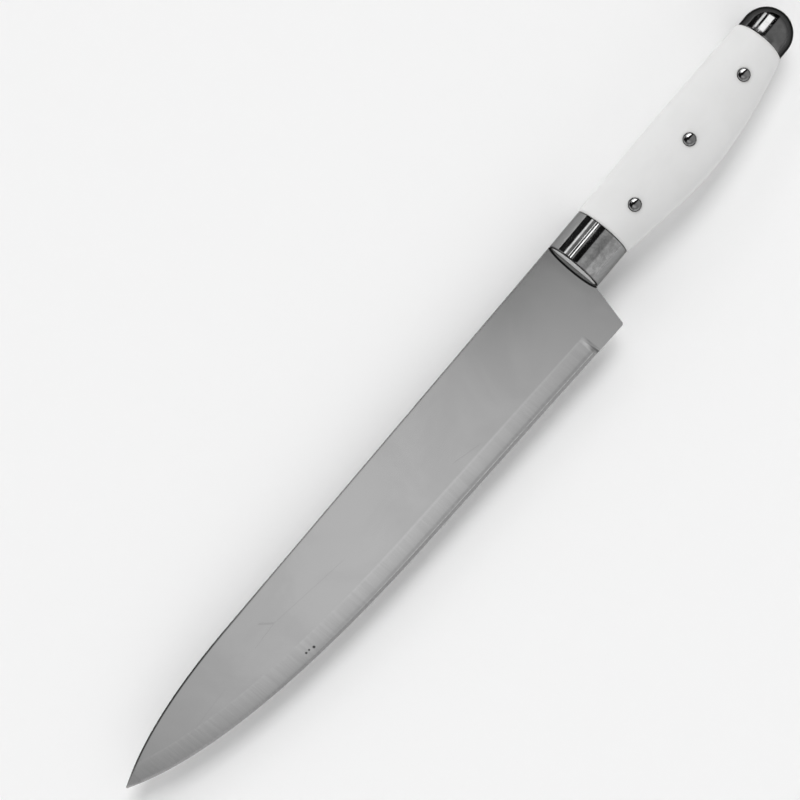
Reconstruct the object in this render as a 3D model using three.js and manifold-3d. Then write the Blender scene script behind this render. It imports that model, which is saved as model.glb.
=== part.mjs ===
// Meat knife: a flat-ground stainless blade whose hidden tang is clamped between two moulded
// white grip scales by three two-piece rivets, with a steel ferrule round the scales' front and a
// domed steel cap on the butt.
//
// Millimetres. The knife lies on its right side: +X runs to the butt, +Y to the spine, +Z up.
// While it is built, X = 0 is the ferrule's front face, Y = 0 the ferrule's axis and Z = 0 the
// middle of the blade's thickness.
import * as THREE from "three";
import { mergeVertices } from "three/addons/utils/BufferGeometryUtils.js";
import Module from "manifold-3d";

// Blade blank, stamped from sheet. Lengths run forward from the ferrule's front face.
const bladeLength = 228.6;
const bladeThickness = 2;
const spineRise = 0.9;
const spineSweepLength = 62;
const spineSweepFullness = 0.64;
const heelDepth = 35.5;
const heelReach = 3.8;
const heelSetback = 0.4;
const heelCornerRadius = 0.9;
const edgeRise = 3.1;
const edgeSweepLength = 129;
const edgeSweepFullness = 0.725;
const tipDrop = 8;
const tipBlunt = 0.5;
const spineEase = 0.4;

// Grind on both faces of the blade: a wide bevel, then the narrow sharpened one along the edge.
const bevelWidth = 7.5;
const honedWidth = 1;
const honedThickness = 0.8;
const edgeThickness = 0.16;
const plungeStart = 15.6;
const plungeLength = 2.4;

// Tang, thinner than the blade by a small step on each face. It stops short of the grip's rear end.
const tangStep = 0.15;
const tangShortfall = 4.8;
const tangFrontHeight = 13;
const tangRearHeight = 9;
const tangRoot = 7;
const tangCornerRadius = 3;

// Ferrule, an oval sleeve that the grip's tenon fills up to its front.
const ferruleLength = 15.2;
const ferruleHeight = 20.8;
const ferruleWidth = 19.4;
const ferruleWall = 0.8;
const ferruleRimRadius = 0.5;
const tenonRound = 0.7;

// Grip, the two scales together.
const gripLength = 81.3;
const gripDepth = 15;
const gripFullest = 38.6;
const bellyFrontFullness = 0.74;
const bellyRearFullness = 0.53;
const spineCrown = 0.5;
const sideSwell = 0.6;
const gripSquareness = 0.35;
const proudOfFerrule = 0.17;
const proudOfCap = 0.37;
const gripRimEase = 0.25;

// End cap, an oval drawn cup with an elliptical dome.
const capHeight = 18.1;
const capWidth = 16.4;
const capRise = 0.7;
const capSkirt = 4.2;
const capDome = 8.8;
const capWall = 0.8;

// Rivets: a post pressed into a socket from the other side, evenly spaced along the grip.
const rivetNames = ["front", "middle", "rear"];
const rivetFrontMargin = 12;
const rivetRearMargin = 13.6;
const rivetDrop = 2.1;
const headDiameter = 4.4;
const headRim = 0.5;
const headDome = 1;
const headSeatDepth = 0.7;
const socketDiameter = 3.2;
const socketWall = 0.4;
const socketFloor = 3;

// Clearances: sliding fits all round, and faces that seat on each other.
const fitGap = 0.15;
const seatGap = 0.1;

// Near the tip the bevels and the eased spine take no more than these shares of the blade's height.
const bevelShare = 0.8;
const honedShare = 0.4;
const easeShare = 0.12;

// Fineness of the facets.
const ovalSides = 48;
const roundSides = 40;
const rivetSides = 20;
const gripStations = 22;
const sweepStations = 22;
const straightStations = 8;
const plungeStations = 5;
const cornerStations = 4;
const arcSteps = 4;
const domeSteps = 9;
const headSteps = 4;

const { lerp, smoothstep, clamp } = THREE.MathUtils;
const wasm = await Module();
wasm.setup();

// Mesh helpers

// Shared vertices merged, and the triangles that collapse at a pole or a seam left out.
function welded(geometry) {
  const bare = geometry.clone();
  bare.deleteAttribute("normal");
  bare.deleteAttribute("uv");
  const merged = mergeVertices(bare);
  const corners = merged.index.array;
  const kept = [];
  for (let i = 0; i < corners.length; i += 3) {
    const [a, b, c] = corners.slice(i, i + 3);
    if (a !== b && b !== c && c !== a) kept.push(a, b, c);
  }
  merged.setIndex(kept);
  return merged;
}

function toSolid(geometry) {
  const mesh = welded(geometry);
  return new wasm.Manifold(
    new wasm.Mesh({
      numProp: 3,
      vertProperties: Float32Array.from(mesh.attributes.position.array),
      triVerts: Uint32Array.from(mesh.index.array),
    }),
  );
}

function toGeometry(solid) {
  const mesh = solid.getMesh();
  const geometry = new THREE.BufferGeometry();
  geometry.setAttribute("position", new THREE.BufferAttribute(mesh.vertProperties, 3));
  geometry.setIndex(new THREE.BufferAttribute(mesh.triVerts, 1));
  return geometry;
}

// Skin over a run of convex rings with equally many points, closed by a flat cap at each end.
// Each ring turns from +Y towards +Z, and the run starts at the end that faces -X.
function loft(rings) {
  const sides = rings[0].length;
  const last = (rings.length - 1) * sides;
  const corners = [];
  for (let i = 0; i + 1 < rings.length; i += 1) {
    for (let j = 0; j < sides; j += 1) {
      const next = (j + 1) % sides;
      const a = i * sides + j;
      const b = i * sides + next;
      corners.push(a, b, b + sides, a, b + sides, a + sides);
    }
  }
  for (let j = 1; j + 1 < sides; j += 1) {
    corners.push(0, j + 1, j);
    corners.push(last, last + j, last + j + 1);
  }
  const geometry = new THREE.BufferGeometry().setFromPoints(rings.flat());
  geometry.setIndex(corners);
  return geometry;
}

// Height of a quadratic curve above one place along X.
function heightAlong(curve, x) {
  const bend = curve.v0.x - 2 * curve.v1.x + curve.v2.x;
  const start = 2 * (curve.v1.x - curve.v0.x);
  const offset = curve.v0.x - x;
  const root = Math.sqrt(Math.max(0, start * start - 4 * bend * offset));
  const share = (-2 * offset) / (start + Math.sign(start) * root);
  return curve.getPoint(clamp(share, 0, 1)).y;
}

// Evenly spaced places from one end up to, but not with, the other.
function spread(from, to, count) {
  return Array.from({ length: count }, (_, i) => lerp(from, to, i / count));
}

// A turned piece standing on Z, from [radius, height] pairs.
function turned(profile, sides) {
  const points = profile.map(([radius, height]) => new THREE.Vector2(radius, height));
  return new THREE.LatheGeometry(points, sides).rotateX(Math.PI / 2);
}

// Quarter of an ellipse, from its full radius up to the axis, without its first point.
function domeProfile(radius, foot, rise, steps) {
  return Array.from({ length: steps }, (_, i) => {
    const angle = ((i + 1) / steps) * (Math.PI / 2);
    const reach = i + 1 === steps ? 0 : radius * Math.cos(angle);
    return [reach, foot + rise * Math.sin(angle)];
  });
}

// Where the pieces lie along the knife

const gripFront = ferruleLength + seatGap;
const gripRear = gripFront + gripLength;
const capFront = gripRear + seatGap;
const capTop = capHeight / 2;
const capOvality = capWidth / capHeight;
const rivetHeight = -rivetDrop;
const rivetPlaces = rivetNames.map((name, i) => {
  const share = i / (rivetNames.length - 1);
  return { name, x: lerp(gripFront + rivetFrontMargin, gripRear - rivetRearMargin, share) };
});

// Blade

const ferruleTop = ferruleHeight / 2;
const fullHalf = bladeThickness / 2;
const heelEdge = ferruleTop - heelDepth;
const tipHeight = ferruleTop - tipDrop;
const spineRun = bladeLength - spineSweepLength;
const edgeRun = bladeLength - edgeSweepLength;

// The two straight runs carry on as the tangents of the curves that sweep to the tip.
const spineLine = (reach) => ferruleTop + spineRise * (reach / spineRun);
const edgeLine = (reach) => heelEdge + edgeRise * ((reach - heelReach) / (edgeRun - heelReach));

function sweepToTip(line, run, length, fullness, end) {
  const turn = run + length * fullness;
  return new THREE.QuadraticBezierCurve(
    new THREE.Vector2(run, line(run)),
    new THREE.Vector2(turn, line(turn)),
    new THREE.Vector2(bladeLength, end),
  );
}

const spineSweep = sweepToTip(
  spineLine, spineRun, spineSweepLength, spineSweepFullness, tipHeight + tipBlunt / 2,
);
const edgeSweep = sweepToTip(
  edgeLine, edgeRun, edgeSweepLength, edgeSweepFullness, tipHeight - tipBlunt / 2,
);

// The heel slants forward from the ferrule's lower corner and is rounded into the edge.
const heelFoot = new THREE.Vector2(heelSetback, -ferruleTop);
const heelCorner = new THREE.Vector2(heelReach, heelEdge);
const heelRound = new THREE.QuadraticBezierCurve(
  heelCorner.clone().add(heelFoot.clone().sub(heelCorner).setLength(heelCornerRadius)),
  heelCorner,
  new THREE.Vector2(heelReach + heelCornerRadius, edgeLine(heelReach + heelCornerRadius)),
);

function spineAt(reach) {
  return reach < spineRun ? spineLine(reach) : heightAlong(spineSweep, reach);
}

function edgeAt(reach) {
  if (reach <= heelFoot.x) return heelFoot.y;
  if (reach < heelRound.v0.x) {
    const share = (reach - heelFoot.x) / (heelRound.v0.x - heelFoot.x);
    return lerp(heelFoot.y, heelRound.v0.y, share);
  }
  if (reach < heelRound.v2.x) return heightAlong(heelRound, reach);
  return reach < edgeRun ? edgeLine(reach) : heightAlong(edgeSweep, reach);
}

// Half the thickness at a height above the edge, where the grind is fully in.
function groundHalf(height) {
  if (height < honedWidth) return lerp(edgeThickness, honedThickness, height / honedWidth) / 2;
  const share = Math.min(1, (height - honedWidth) / (bevelWidth - honedWidth));
  return lerp(honedThickness, bladeThickness, share) / 2;
}

// One section of the blade: spine, flat, bevel, honed bevel and edge, on both faces.
function bladeRing(reach) {
  const foot = edgeAt(reach);
  const height = spineAt(reach) - foot;
  const grind = smoothstep(reach, plungeStart, plungeStart + plungeLength);
  const half = (level) => lerp(fullHalf, groundHalf(level), grind);
  const eased = Math.min(spineEase, height * easeShare);
  const bevelTop = Math.min(bevelWidth, height * bevelShare);
  const honedTop = Math.min(honedWidth, height * honedShare);
  const side = [[height, half(height) - eased]];
  for (const level of [height - eased, bevelTop, honedTop, 0]) side.push([level, half(level)]);
  const upper = side.map(([level, z]) => new THREE.Vector3(-reach, foot + level, z));
  const lower = side.map(([level, z]) => new THREE.Vector3(-reach, foot + level, -z)).reverse();
  return [...upper, ...lower];
}

function bladeReaches() {
  const plungeEnd = plungeStart + plungeLength;
  const sweeps = [spineRun, edgeRun].sort((a, b) => a - b);
  return [
    seatGap,
    heelFoot.x,
    ...spread(heelRound.v0.x, heelRound.v2.x, cornerStations),
    heelRound.v2.x,
    ...spread(plungeStart, plungeEnd, plungeStations),
    ...spread(plungeEnd, sweeps[0], straightStations),
    ...spread(sweeps[0], sweeps[1], sweepStations / 2),
    ...spread(sweeps[1], bladeLength, sweepStations),
    bladeLength,
  ];
}

const tangThickness = bladeThickness - 2 * tangStep;
const tangEnd = gripRear - tangShortfall;
const socketRadius = socketDiameter / 2;

// The tang's outline, grown by a margin all round for the pocket that it runs in.
function tangOutline(margin, root) {
  const front = tangFrontHeight / 2 + margin;
  const rear = tangRearHeight / 2 + margin;
  const end = tangEnd + margin;
  const corner = Math.min(tangCornerRadius, rear / 2);
  const outline = new THREE.Shape();
  outline.moveTo(-root, rivetHeight - front);
  outline.lineTo(0, rivetHeight - front);
  outline.lineTo(end - corner, rivetHeight - rear);
  outline.absarc(end - corner, rivetHeight - rear + corner, corner, -Math.PI / 2, 0, false);
  outline.absarc(end - corner, rivetHeight + rear - corner, corner, 0, Math.PI / 2, false);
  outline.lineTo(0, rivetHeight + front);
  outline.lineTo(-root, rivetHeight + front);
  return outline;
}

function plate(outline, thickness) {
  const shape = { depth: thickness, bevelEnabled: false, curveSegments: arcSteps };
  return new THREE.ExtrudeGeometry(outline, shape).translate(0, 0, -thickness / 2);
}

function bladeGeometry() {
  const rings = bladeReaches().map(bladeRing).reverse();
  let blade = toSolid(loft(rings)).add(toSolid(plate(tangOutline(0, tangRoot), tangThickness)));
  for (const { x } of rivetPlaces) blade = blade.subtract(toSolid(drill(x, 1)));
  return toGeometry(blade);
}

const tangPocket = toSolid(plate(tangOutline(fitGap, seatGap), tangThickness + 2 * fitGap));

// Ferrule and cap

function ovalRing(x, height, width) {
  return Array.from({ length: ovalSides }, (_, i) => {
    const angle = (i / ovalSides) * 2 * Math.PI;
    return new THREE.Vector3(x, (height / 2) * Math.cos(angle), (width / 2) * Math.sin(angle));
  });
}

function ferruleGeometry() {
  const rings = [];
  for (let i = 0; i <= arcSteps; i += 1) {
    const angle = (i / arcSteps) * (Math.PI / 2);
    const inset = 2 * ferruleRimRadius * (1 - Math.sin(angle));
    const x = ferruleRimRadius * (1 - Math.cos(angle));
    rings.push(ovalRing(x, ferruleHeight - inset, ferruleWidth - inset));
  }
  rings.push(ovalRing(ferruleLength, ferruleHeight, ferruleWidth));
  const boreHeight = ferruleHeight - 2 * ferruleWall;
  const boreWidth = ferruleWidth - 2 * ferruleWall;
  const boreEnds = [-ferruleWall, ferruleLength + ferruleWall];
  const bore = loft(boreEnds.map((x) => ovalRing(x, boreHeight, boreWidth)));
  return toGeometry(toSolid(loft(rings)).subtract(toSolid(bore)));
}

function capGeometry() {
  const boreRadius = capTop - capWall;
  const outside = [[boreRadius, 0], [capTop, 0], [capTop, capSkirt]];
  outside.push(...domeProfile(capTop, capSkirt, capDome, domeSteps));
  const inside = [[boreRadius, capSkirt]];
  inside.push(...domeProfile(boreRadius, capSkirt, capDome - capWall, domeSteps));
  const profile = [...inside.reverse(), ...outside];
  const round = turned(profile, roundSides).rotateY(Math.PI / 2);
  return round.scale(1, 1, capOvality).translate(capFront, capRise, 0);
}

// Grip scales

const bellyFront = ferruleTop + proudOfFerrule;
const bellyRear = capTop + proudOfCap - capRise;
const fullestPlace = gripFront + gripFullest;

function bellyCurve(from, fromDepth, fullness) {
  return new THREE.QuadraticBezierCurve(
    new THREE.Vector2(from, fromDepth),
    new THREE.Vector2(lerp(from, fullestPlace, fullness), gripDepth),
    new THREE.Vector2(fullestPlace, gripDepth),
  );
}

const bellyAhead = bellyCurve(gripFront, bellyFront, bellyFrontFullness);
const bellyBehind = bellyCurve(gripRear, bellyRear, bellyRearFullness);

// Section of the grip: an oval at both ends that squares off a little and swells in between.
function gripSection(x) {
  const share = (x - gripFront) / gripLength;
  const arch = Math.sin(Math.PI * share);
  const top = lerp(bellyFront, capTop + proudOfCap + capRise, share) + spineCrown * arch;
  const bottom = heightAlong(x < fullestPlace ? bellyAhead : bellyBehind, x);
  return {
    middle: (top - bottom) / 2,
    halfHeight: (top + bottom) / 2,
    halfWidth: lerp(ferruleWidth / 2 + proudOfFerrule, capWidth / 2 + proudOfCap, share)
      + sideSwell * arch,
    power: 2 + gripSquareness * arch,
  };
}

// Half of a rounded section, on the side of the parting plane that the sign gives.
function scaleRing(x, section, sign) {
  const start = sign > 0 ? 0 : Math.PI;
  const steps = ovalSides / 2;
  const bulge = (value) => Math.sign(value) * Math.abs(value) ** (2 / section.power);
  return Array.from({ length: steps + 1 }, (_, i) => {
    const angle = start + (i / steps) * Math.PI;
    const side = i === 0 || i === steps ? 0 : bulge(Math.sin(angle));
    const y = section.middle + section.halfHeight * bulge(Math.cos(angle));
    return new THREE.Vector3(x, y, section.halfWidth * side);
  });
}

function shrunk(section, inset) {
  return {
    ...section,
    halfHeight: section.halfHeight - inset,
    halfWidth: section.halfWidth - inset,
  };
}

// How far the grip's side stands from the parting plane at the rivets' height.
function gripSideAt(x) {
  const section = gripSection(x);
  const share = Math.abs(rivetHeight - section.middle) / section.halfHeight;
  return section.halfWidth * (1 - share ** section.power) ** (1 / section.power);
}

const seatHeight = (x) => gripSideAt(x) - headSeatDepth;

// A stepped drill for one rivet: its shank's bore, and the flat seat of its head.
function drill(x, sign) {
  const bore = socketRadius + fitGap;
  const face = headDiameter / 2 + fitGap;
  const seat = seatHeight(x);
  const clear = seat + headSeatDepth + headRim + headDome;
  const profile = [[0, -bladeThickness], [bore, -bladeThickness], [bore, seat]];
  profile.push([face, seat], [face, clear], [0, clear]);
  const upward = turned(profile, rivetSides);
  return upward.rotateX(sign > 0 ? 0 : Math.PI).translate(x, rivetHeight, 0);
}

const tenonSection = {
  middle: 0,
  halfHeight: ferruleTop - ferruleWall - fitGap,
  halfWidth: ferruleWidth / 2 - ferruleWall - fitGap,
  power: 2,
};
const spigotSection = {
  middle: capRise,
  halfHeight: capTop - capWall - fitGap,
  halfWidth: (capTop - capWall) * capOvality - fitGap,
  power: 2,
};

function scaleGeometry(sign) {
  const front = gripSection(gripFront);
  const rear = gripSection(gripRear);
  const rings = [];
  for (let i = 0; i <= arcSteps; i += 1) {
    const angle = (i / arcSteps) * (Math.PI / 2);
    const inset = tenonRound * (1 - Math.sin(angle));
    const x = tenonRound * (1 - Math.cos(angle));
    rings.push(scaleRing(x, shrunk(tenonSection, inset), sign));
  }
  rings.push(scaleRing(gripFront, tenonSection, sign));
  rings.push(scaleRing(gripFront, shrunk(front, gripRimEase), sign));
  for (const x of spread(gripFront + gripRimEase, gripRear - gripRimEase, gripStations)) {
    rings.push(scaleRing(x, gripSection(x), sign));
  }
  rings.push(scaleRing(gripRear - gripRimEase, gripSection(gripRear - gripRimEase), sign));
  rings.push(scaleRing(gripRear, shrunk(rear, gripRimEase), sign));
  rings.push(scaleRing(gripRear, spigotSection, sign));
  rings.push(scaleRing(gripRear + capSkirt, spigotSection, sign));
  let scale = toSolid(loft(rings)).subtract(tangPocket);
  for (const { x } of rivetPlaces) scale = scale.subtract(toSolid(drill(x, sign)));
  return toGeometry(scale);
}

// Rivets

// A domed head above the seat, continued by the profile of what stands below it.
function headProfile(seat) {
  const rimFoot = seat + seatGap;
  const rimTop = rimFoot + headRim;
  const radius = headDiameter / 2;
  return [[radius, rimFoot], [radius, rimTop], ...domeProfile(radius, rimTop, headDome, headSteps)];
}

function postGeometry(x) {
  const seat = seatHeight(x);
  const radius = socketRadius - socketWall - fitGap;
  const end = -seat + socketFloor + fitGap;
  const profile = [[0, end], [radius, end], [radius, seat + seatGap], ...headProfile(seat)];
  return turned(profile, rivetSides);
}

function socketGeometry(x) {
  const seat = seatHeight(x);
  const bore = socketRadius - socketWall;
  const mouth = -seat;
  const floor = seat - socketFloor;
  const profile = [
    [0, floor],
    [bore, floor],
    [bore, mouth],
    [socketRadius, mouth],
    [socketRadius, seat + seatGap],
    ...headProfile(seat),
  ];
  return turned(profile, rivetSides).rotateX(Math.PI);
}

// Assembly

const polishedSteel = { color: 0x8d8f90, roughness: 0.2, metalness: 1 };
const groundSteel = { color: 0xa4a5a6, roughness: 0.3, metalness: 1 };
const whitePlastic = { color: 0xe6e6e4, roughness: 0.4, metalness: 0 };

function piece(name, geometry, finish) {
  const mesh = new THREE.Mesh(welded(geometry), new THREE.MeshStandardMaterial(finish));
  mesh.name = name;
  return mesh;
}

const knife = new THREE.Group();
knife.add(piece("blade", bladeGeometry(), groundSteel));
knife.add(piece("ferrule", ferruleGeometry(), polishedSteel));
knife.add(piece("left_scale", scaleGeometry(1), whitePlastic));
knife.add(piece("right_scale", scaleGeometry(-1), whitePlastic));
knife.add(piece("end_cap", capGeometry(), polishedSteel));
for (const { name, x } of rivetPlaces) {
  const post = piece(`rivet_post_${name}`, postGeometry(x), polishedSteel);
  const socket = piece(`rivet_socket_${name}`, socketGeometry(x), polishedSteel);
  for (const half of [post, socket]) {
    half.position.set(x, rivetHeight, 0);
    knife.add(half);
  }
}

// The origin is below the middle of the whole knife, on the surface that it lies on.
const reach = new THREE.Box3().setFromObject(knife);
const middle = reach.getCenter(new THREE.Vector3());
knife.position.set(-middle.x, -middle.y, -reach.min.z);

const model = new THREE.Group();
model.add(knife);
export default model;
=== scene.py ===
"""Meat knife, dressed for the camera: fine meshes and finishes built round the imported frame.

The knife lies on its right side, in metres, as the frame does: +X runs to the butt, +Y to the spine
and +Z up. Sizes are written in millimetres times MM. Pieces are built from a datum, the middle of
the ferrule's front face, and then moved to their place in the frame.
"""
import logging
import math
from collections.abc import Callable
from dataclasses import dataclass, field
from enum import Enum
from functools import reduce

import bmesh
import bpy
import numpy as np
from mathutils import Matrix, Vector


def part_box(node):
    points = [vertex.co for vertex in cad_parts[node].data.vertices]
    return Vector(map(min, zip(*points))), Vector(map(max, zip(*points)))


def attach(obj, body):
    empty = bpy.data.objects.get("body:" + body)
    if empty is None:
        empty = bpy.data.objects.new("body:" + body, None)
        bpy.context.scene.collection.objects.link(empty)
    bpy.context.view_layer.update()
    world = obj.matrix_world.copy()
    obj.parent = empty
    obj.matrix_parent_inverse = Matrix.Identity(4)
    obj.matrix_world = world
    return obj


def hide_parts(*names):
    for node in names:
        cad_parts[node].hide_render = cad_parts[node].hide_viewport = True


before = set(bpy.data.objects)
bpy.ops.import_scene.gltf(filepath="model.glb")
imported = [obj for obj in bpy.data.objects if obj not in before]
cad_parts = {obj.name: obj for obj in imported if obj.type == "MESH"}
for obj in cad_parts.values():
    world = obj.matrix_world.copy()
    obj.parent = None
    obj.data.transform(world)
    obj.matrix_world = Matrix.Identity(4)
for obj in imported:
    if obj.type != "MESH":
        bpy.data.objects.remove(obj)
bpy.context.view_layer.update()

MM = 0.001
BODY = "root"
FIT_GAP = 0.15 * MM
SEAT_GAP = 0.1 * MM
SMOOTH_LIMIT = math.radians(35)

Mesh = bpy.types.Mesh
Object = bpy.types.Object
Material = bpy.types.Material
Socket = bpy.types.NodeSocket
Tree = bpy.types.NodeTree
Point = tuple[float, float]
Colour = tuple[float, float, float, float]
Value = float | Socket
Paint = Colour | Socket

log = logging.getLogger("meat_knife")


class Side(Enum):
    """The two faces of the knife, by the sign of Z that they look along."""

    LEFT = 1
    RIGHT = -1


class Slot(Enum):
    """The record's material slots."""

    BLADE = "blade_steel"
    BRIGHT = "bright_steel"
    PLASTIC = "white_plastic"


class Cut(Enum):
    """What a tool solid does to a piece."""

    TAKE = "DIFFERENCE"
    JOIN = "UNION"


# Curves and meshes


def lerp(start: float, end: float, share: float) -> float:
    """Value at a share of the way from start to end."""
    return start + (end - start) * share


def smoothstep(value: float, low: float, high: float) -> float:
    """Soft rise from 0 at low to 1 at high."""
    share = min(1.0, max(0.0, (value - low) / (high - low)))
    return share * share * (3 - 2 * share)


def spread(start: float, end: float, count: int) -> list[float]:
    """Evenly spaced places from start up to, but not with, end."""
    return [lerp(start, end, i / count) for i in range(count)]


@dataclass(frozen=True)
class Bend:
    """A quadratic curve from start to end, drawn towards a corner."""

    start: Point
    corner: Point
    end: Point

    def height_at(self, place: float) -> float:
        """Height of the curve above one place.

        Args:
            place: Distance along the first axis, between the curve's ends.

        Returns:
            The distance along the second axis.
        """
        turn = self.start[0] - 2 * self.corner[0] + self.end[0]
        slope = 2 * (self.corner[0] - self.start[0])
        offset = self.start[0] - place
        root = math.sqrt(max(0.0, slope * slope - 4 * turn * offset))
        share = min(1.0, max(0.0, -2 * offset / (slope + math.copysign(root, slope))))
        near = lerp(self.start[1], self.corner[1], share)
        return lerp(near, lerp(self.corner[1], self.end[1], share), share)


def quarter_round(radius: float, rise: float, steps: int, power: float = 2.0) -> list[Point]:
    """Quarter of an oval, from (radius, 0) to (0, rise).

    Args:
        radius: Size outward.
        rise: Size upward.
        steps: Number of chords.
        power: 2 for an ellipse, more for a fuller oval.

    Returns:
        The (outward, upward) pairs.
    """
    bulge = 2 / power
    points = [(radius, 0.0)]
    for i in range(1, steps):
        angle = math.pi / 2 * i / steps
        points.append((radius * math.cos(angle) ** bulge, rise * math.sin(angle) ** bulge))
    return [*points, (0.0, rise)]


def oval(x: float, half_height: float, half_width: float, sides: int) -> np.ndarray:
    """An upright elliptical ring across the knife, round the datum's axis.

    Args:
        x: Its place along the knife.
        half_height: Half its size towards the spine.
        half_width: Half its size across the faces.
        sides: Number of points.

    Returns:
        The ring's points.
    """
    angles = np.linspace(0, 2 * math.pi, sides, endpoint=False)
    columns = [np.full(sides, x), half_height * np.cos(angles), half_width * np.sin(angles)]
    return np.stack(columns, axis=1)


def closed_mesh(name: str, points: np.ndarray, faces: list[list[int]]) -> Mesh:
    """A closed mesh with its faces turned outward.

    Args:
        name: The mesh's name.
        points: One row of three coordinates for each vertex.
        faces: The corners of each face.

    Returns:
        The new mesh.
    """
    mesh = bpy.data.meshes.new(name)
    mesh.from_pydata(points.tolist(), [], faces)
    shape = bmesh.new()
    shape.from_mesh(mesh)
    bmesh.ops.recalc_face_normals(shape, faces=shape.faces)
    shape.to_mesh(mesh)
    shape.free()
    return mesh


def loft(name: str, rings: list[np.ndarray], looped: bool = False) -> Mesh:
    """Skin over a run of rings with equally many points.

    Args:
        name: The mesh's name.
        rings: Each ring's points, one row for each.
        looped: Whether the last ring joins the first, as in a tube. If not, both ends are closed.

    Returns:
        The new mesh.
    """
    sides = len(rings[0])
    last = (len(rings) - 1) * sides
    starts = list(range(0, last + sides, sides))
    faces = [] if looped else [list(range(sides)), list(range(last, last + sides))]
    for near, far in zip(starts, starts[1:] + starts[:1] if looped else starts[1:]):
        for i in range(sides):
            j = (i + 1) % sides
            faces.append([near + i, near + j, far + j, far + i])
    return closed_mesh(name, np.concatenate(rings), faces)


def turned(name: str, profile: list[Point], sides: int) -> Mesh:
    """A turned solid standing on Z.

    Args:
        name: The mesh's name.
        profile: (radius, height) pairs that start and end on the axis.
        sides: Number of points round the axis.

    Returns:
        The new mesh.
    """
    angles = np.linspace(0, 2 * math.pi, sides, endpoint=False)
    around = np.stack([np.cos(angles), np.sin(angles)], axis=1)
    rings = [np.column_stack([around * r, np.full(sides, z)]) for r, z in profile[1:-1]]
    poles = np.array([[0, 0, profile[0][1]], [0, 0, profile[-1][1]]])
    first = len(rings) * sides
    faces = []
    for i in range(sides):
        j = (i + 1) % sides
        for start in range(0, first - sides, sides):
            faces.append([start + i, start + j, start + sides + j, start + sides + i])
        faces.append([first, j, i])
        faces.append([first + 1, first - sides + i, first - sides + j])
    return closed_mesh(name, np.concatenate([*rings, poles]), faces)


def new_object(name: str, mesh: Mesh) -> Object:
    """A new object in the scene.

    Args:
        name: The object's name.
        mesh: The mesh that it shows.

    Returns:
        The object.
    """
    made = bpy.data.objects.new(name, mesh)
    bpy.context.scene.collection.objects.link(made)
    return made


def worked(mesh: Mesh, tools: list[Mesh], cut: Cut) -> Mesh:
    """A solid after other solids were cut from it or joined to it.

    Args:
        mesh: The closed solid to work on.
        tools: The closed solids that cut it or join it.
        cut: What the tools do.

    Returns:
        A new mesh with the result.
    """
    blank = new_object("blank", mesh)
    helpers = [new_object("tool", tool) for tool in tools]
    for helper in helpers:
        step = blank.modifiers.new("work", "BOOLEAN")
        step.operation = cut.value
        step.solver = "EXACT"
        step.object = helper
    view = bpy.context.evaluated_depsgraph_get()
    result = bpy.data.meshes.new_from_object(blank.evaluated_get(view))
    result.name = mesh.name
    for used in [blank, *helpers]:
        bpy.data.objects.remove(used)
    return result


def store(mesh: Mesh, name: str, values: list[float]) -> None:
    """Keeps one value for each vertex on the mesh, for its finish to read."""
    mesh.attributes.new(name, "FLOAT", "POINT").data.foreach_set("value", values)


def datum() -> Vector:
    """The middle of the ferrule's front face, from which all pieces are measured."""
    low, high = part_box("ferrule")
    return Vector((low.x, (low.y + high.y) / 2, (low.z + high.z) / 2))


def placed(name: str, mesh: Mesh, node: str) -> Object:
    """A finished piece in the frame, standing for its CAD node.

    Args:
        name: The piece's name.
        mesh: Its mesh, measured from the datum.
        node: The CAD node that it stands for.

    Returns:
        The piece.
    """
    mesh.transform(Matrix.Translation(datum()))
    mesh.shade_smooth()
    mesh.set_sharp_from_angle(angle=SMOOTH_LIMIT)
    piece = new_object(name, mesh)
    even = piece.modifiers.new("even_normals", "WEIGHTED_NORMAL")
    even.keep_sharp = True
    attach(piece, BODY)
    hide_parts(node)
    log.info("%s stands for %s with %d faces", name, node, len(mesh.polygons))
    return piece


# Shader nodes


def grey(level: float) -> Colour:
    """A neutral colour."""
    return (level, level, level, 1.0)


def around(level: float, swing: float) -> tuple[Colour, Colour]:
    """Two neutral colours, a share of the level below it and above it."""
    return grey(level * (1 - swing)), grey(level * (1 + swing))


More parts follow.
